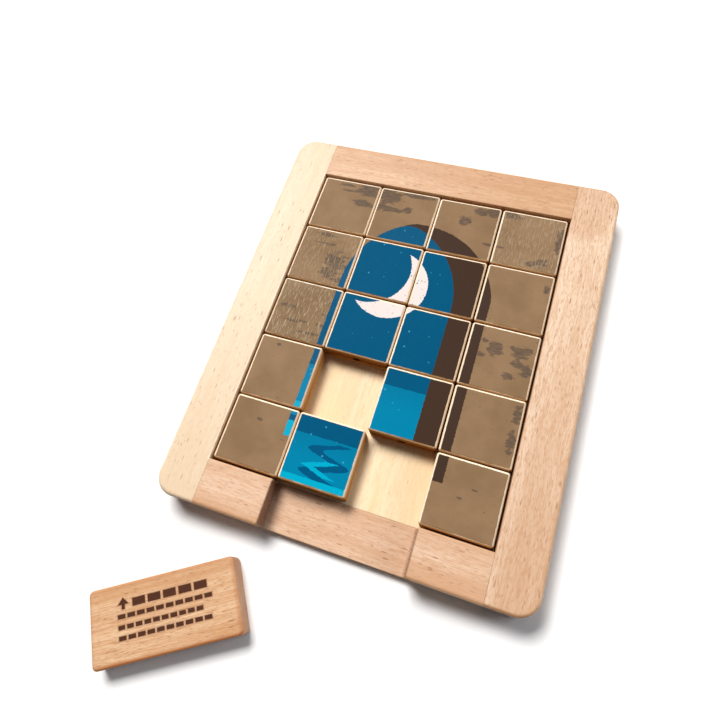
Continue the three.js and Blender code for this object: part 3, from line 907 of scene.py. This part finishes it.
# the right stile's and rails' edge colours are painted shade on their rounded edges; the left stile's is
# worn paler wood
leftWood = woodMaterial("paleBeechLeft", "#e6ceb0", "#d8b893", "#8a6b50", turn=90, figure=0.5, flecks=0.7,
                        fibres=0.25, edge="#f6e6cf", ends="#a9784c")
rightWood = woodMaterial("pinkBeechRight", "#f0d8bf", "#cda078", "#94603f", turn=90, shift=(40, 13, 5),
                         figure=0.5, flecks=0.8, fibres=0.5, silk=0.75, edge="#c99a70", ends="#9a6238",
                         heart=((67.0, 93.0), (12.0, 29.0), 0.5, 0.4))
# the near rail's dark end colour is end grain and painted shade on the channel's end walls and foot
railWood = woodMaterial("beechRails", "#e8c7ab", "#cb9a74", "#94603f", shift=(11, 7, 3), figure=0.8,
                        flecks=0.8, fibres=0.5, silk=0.45, edge="#c9996e", ends="#5c3118", coat=0.04)
farRailWood = woodMaterial("beechFarRail", "#dcb48e", "#c08c62", "#8a5a3a", shift=(31, 17, 3), figure=0.8,
                           flecks=0.7, fibres=0.6, silk=0.6, edge="#cfa27a")
floorWood = woodMaterial("birchPanel", "#fbe6c4", "#edca98", "#c08c54", turn=90, shift=(3, 1, 9), figure=0.7,
                         flecks=0.12, fibres=0.35, relief=0.15, coat=0.05)
dowelWood = woodMaterial("dowelBeech", "#d9b585", "#c2976a", "#94683f", figure=0.6, flecks=0.4)
print("materials made")


# The burnt mark on the block, in millimetres from its middle: a lift arrow, a row of bold dashes and
# three rows of small ones
markLook = dict(
    # edge and side are painted shade colours for the rounded edges and the sides
    pale="#efcda8", deep="#c99467", fleck="#935c38", edge="#a8622f", side="#96603a",
    burnt="#4a230b", scorch="#8a5430",
    tip=(-16.5, 9.4), headSlope=0.9, headLength=2.6, shaft=(0.7, 5.0, 7.4),
    # low and high edge, left and right end, number of dashes and half the gap between them
    rows=[(5.4, 8.4, -12.6, 18.6, 5, 0.55), (1.6, 3.3, -19.0, 20.3, 10, 0.4),
          (-2.4, -0.7, -19.0, 16.2, 10, 0.4), (-6.3, -4.6, -19.0, 19.4, 10, 0.4)],
    ragged=((1.6,) * 3, 3.0), waver=0.3, burnEdge=(0.12, -0.15), haloEdge=(0.7, 0.0),
    haloStrength=0.45, upperFrom=5.0,
    # painted shade: the rounded edges turn brown, most on the near and right sides, and the sides darken
    # below them
    edgeStart=(1.3, -0.5), edgeEnd=(-2.4, -1.2), edgeShares=(0.72, 0.16), sideStart=(-1.0, -2.4),
    sideStrength=0.55, burnHeight=-1.2, burnRoughness=0.25, bumpStrength=0.45, specular=0.3,
)


def blockMaterial():
    look = markLook
    material, shader = newMaterial("oiledBeechBlock")
    own = addNode("TexCoord").outputs["Object"]
    moved = vectorCalc("SUBTRACT", own, (float(blockCentre[0]), float(blockCentre[1]), 0.0))
    sockets = {"Vector": moved, "Rotation": (0, 0, -turn), "Scale": (1 / mm,) * 3}
    place = addNode("Mapping", sockets).outputs[0]
    grain = grained(place, look["pale"], look["deep"], look["fleck"], 0.9, 0.6, 0.8)
    x, y, z = split(place)
    waver = look["waver"]
    wander = timesPlus(noise(place, *look["ragged"]), waver, -0.5 * waver)

    def bar(x0, x1, y0, y1):
        # distance outside a rectangle, negative inside
        fromX = calc("ABSOLUTE", minus(x, (x0 + x1) / 2))
        fromY = calc("ABSOLUTE", minus(y, (y0 + y1) / 2))
        return largest(minus(fromX, (x1 - x0) / 2), minus(fromY, (y1 - y0) / 2))

    def dashes(low, high, first, last, count, space):
        # a row of count bars from first to last with a gap of twice the space between them
        pitch = (last - first + 2 * space) / count
        gap = calc("PINGPONG", plus(x, 10 * pitch - last - space), pitch / 2)
        return largest(bar(first, last, low, high), minus(space, gap))

    # arrow head: inside where the way aside is less than the way down from the tip
    tipX, tipY = look["tip"]
    down = minus(tipY, y)
    aside = calc("ABSOLUTE", minus(x, tipX))
    aside = minus(aside, times(down, look["headSlope"]))
    mark = largest(aside, minus(down, look["headLength"]))
    half, low, high = look["shaft"]
    shapes = [bar(tipX - half, tipX + half, low, high)] + [dashes(*row) for row in look["rows"]]
    for shape in shapes:
        mark = calc("MINIMUM", mark, shape)
    edge = plus(mark, wander)
    rim = attribute("rim")
    upper = calc("GREATER_THAN", z, look["upperFrom"])
    face = times(calc("GREATER_THAN", rim, 0.0), upper)
    burn = times(fade(edge, *look["burnEdge"]), face)
    halo = times(fade(edge, *look["haloEdge"]), face)
    halo = times(halo, look["haloStrength"])
    shade = mixColour(halo, grain["Colour"], look["scorch"])
    shade = mixColour(burn, shade, look["burnt"])
    # painted shade: brown rounded edges, strongest on the near and right sides, and darker sides below
    edgeShade = times(fade(rim, *look["edgeStart"]), fade(rim, *look["edgeEnd"]))
    edgeShade = times(edgeShade, timesPlus(attribute("nearSide"), *look["edgeShares"]))
    shade = mixColour(edgeShade, shade, look["edge"])
    below = times(fade(rim, *look["sideStart"]), look["sideStrength"])
    shade = mixColour(below, shade, look["side"])
    height = timesPlus(burn, look["burnHeight"], grain["Height"])
    rough = timesPlus(burn, look["burnRoughness"], grain["Roughness"])
    normal = bumpNormal(height, look["bumpStrength"], finishLook["bumpDepth"])
    feed(shader, {"Base Color": shade, "Roughness": rough, "Normal": normal})
    shader["Specular IOR Level"].default_value = look["specular"]
    return material


# Every piece gets its finish, its body and the CAD node it stands for
def dress(piece, material, body, node):
    piece.data.materials.clear()
    piece.data.materials.append(material)
    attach(piece, body)
    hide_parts(node)


dress(leftStile, leftWood, "tray", "left_stile")
dress(rightStile, rightWood, "tray", "right_stile")
dress(topRail, farRailWood, "tray", "top_rail")
dress(bottomRail, railWood, "tray", "bottom_rail")
slots = {part["node"]: part["material_slot"] for part in frame["record"]["subparts"]}
for name, piece in tiles.items():
    dress(piece, tileMaterials[slots[name]], name, name)
dress(blockPiece, blockMaterial(), "block", "lift_out_block")
for name, node in frame["nodes"].items():
    if name == "floor_panel" or name.startswith("dowel_"):
        node.data.materials.clear()
        node.data.materials.append(floorWood if name == "floor_panel" else dowelWood)
print("pieces dressed")


# Table, light and camera
studio = dict(
    tableColour="#fbfbfc",
    tableRoughness=0.7,
    tableSize=4.0,
    tableDrop=0.05 * mm,  # keeps the table's surface clear of the undersides that stand on it
    worldColour=(0.93, 0.965, 1.0, 1.0),
    worldStrength=0.085,
    # place, size, power and tint of each soft light; the window on the far left leads
    lights=dict(
        window=((-1.5, 1.75, 3.5), (1.9, 1.5), 222.0, (1.0, 0.98, 0.95)),
        farWall=((0.25, 2.4, 0.9), (2.0, 0.8), 7.0, (0.96, 0.98, 1.0)),
        rightFill=((1.8, 0.9, 1.0), (1.2, 0.8), 18.0, (0.90, 0.95, 1.0)),
    ),
)
table = bpy.data.meshes.new("table")
half = studio["tableSize"] / 2
tableCorners = [(-half, -half, 0), (half, -half, 0), (half, half, 0), (-half, half, 0)]
table.from_pydata(tableCorners, [], [(0, 1, 2, 3)])
tableTop = bpy.data.objects.new("table", table)
bpy.context.scene.collection.objects.link(tableTop)
tableMaterial, tableShader = newMaterial("paleTable")
tableShader["Base Color"].default_value = colour(studio["tableColour"])
tableShader["Roughness"].default_value = studio["tableRoughness"]
table.materials.append(tableMaterial)
tableTop.location.z = -studio["tableDrop"]

world = bpy.data.worlds.new("softRoom")
world.use_nodes = True
world.node_tree.nodes["Background"].inputs["Color"].default_value = studio["worldColour"]
world.node_tree.nodes["Background"].inputs["Strength"].default_value = studio["worldStrength"]
bpy.context.scene.world = world


def addWindow(name, place, size, power, tint):
    # an oblong soft light that faces the middle of the tray
    light = bpy.data.lights.new(name, "AREA")
    light.shape = "RECTANGLE"
    light.size, light.size_y = size
    light.energy = power
    light.color = tint
    lamp = bpy.data.objects.new(name, light)
    bpy.context.scene.collection.objects.link(lamp)
    lamp.location = place
    away = np.array(place)
    lamp.rotation_euler = (math.atan2(math.hypot(away[0], away[1]), away[2]), 0,
                           math.atan2(away[1], away[0]) + math.pi / 2)


for lightName, facts in studio["lights"].items():
    addWindow(lightName, *facts)

camera = dict(
    place=(0.04347, -0.09396, 0.25242),
    turn=(23.180, 8.098, 18.526),
    lens=29.266,
    shift=(0.01814, -0.03320),
)
lensData = bpy.data.cameras.new("camera")
lensData.lens = camera["lens"]
lensData.sensor_width = 36.0
lensData.shift_x, lensData.shift_y = camera["shift"]
lensData.clip_start = 0.01
cameraObject = bpy.data.objects.new("camera", lensData)
cameraObject.location = camera["place"]
cameraObject.rotation_euler = [math.radians(a) for a in camera["turn"]]
bpy.context.scene.collection.objects.link(cameraObject)
bpy.context.scene.camera = cameraObject
bpy.context.scene.view_settings.view_transform = "Standard"
print("studio made")
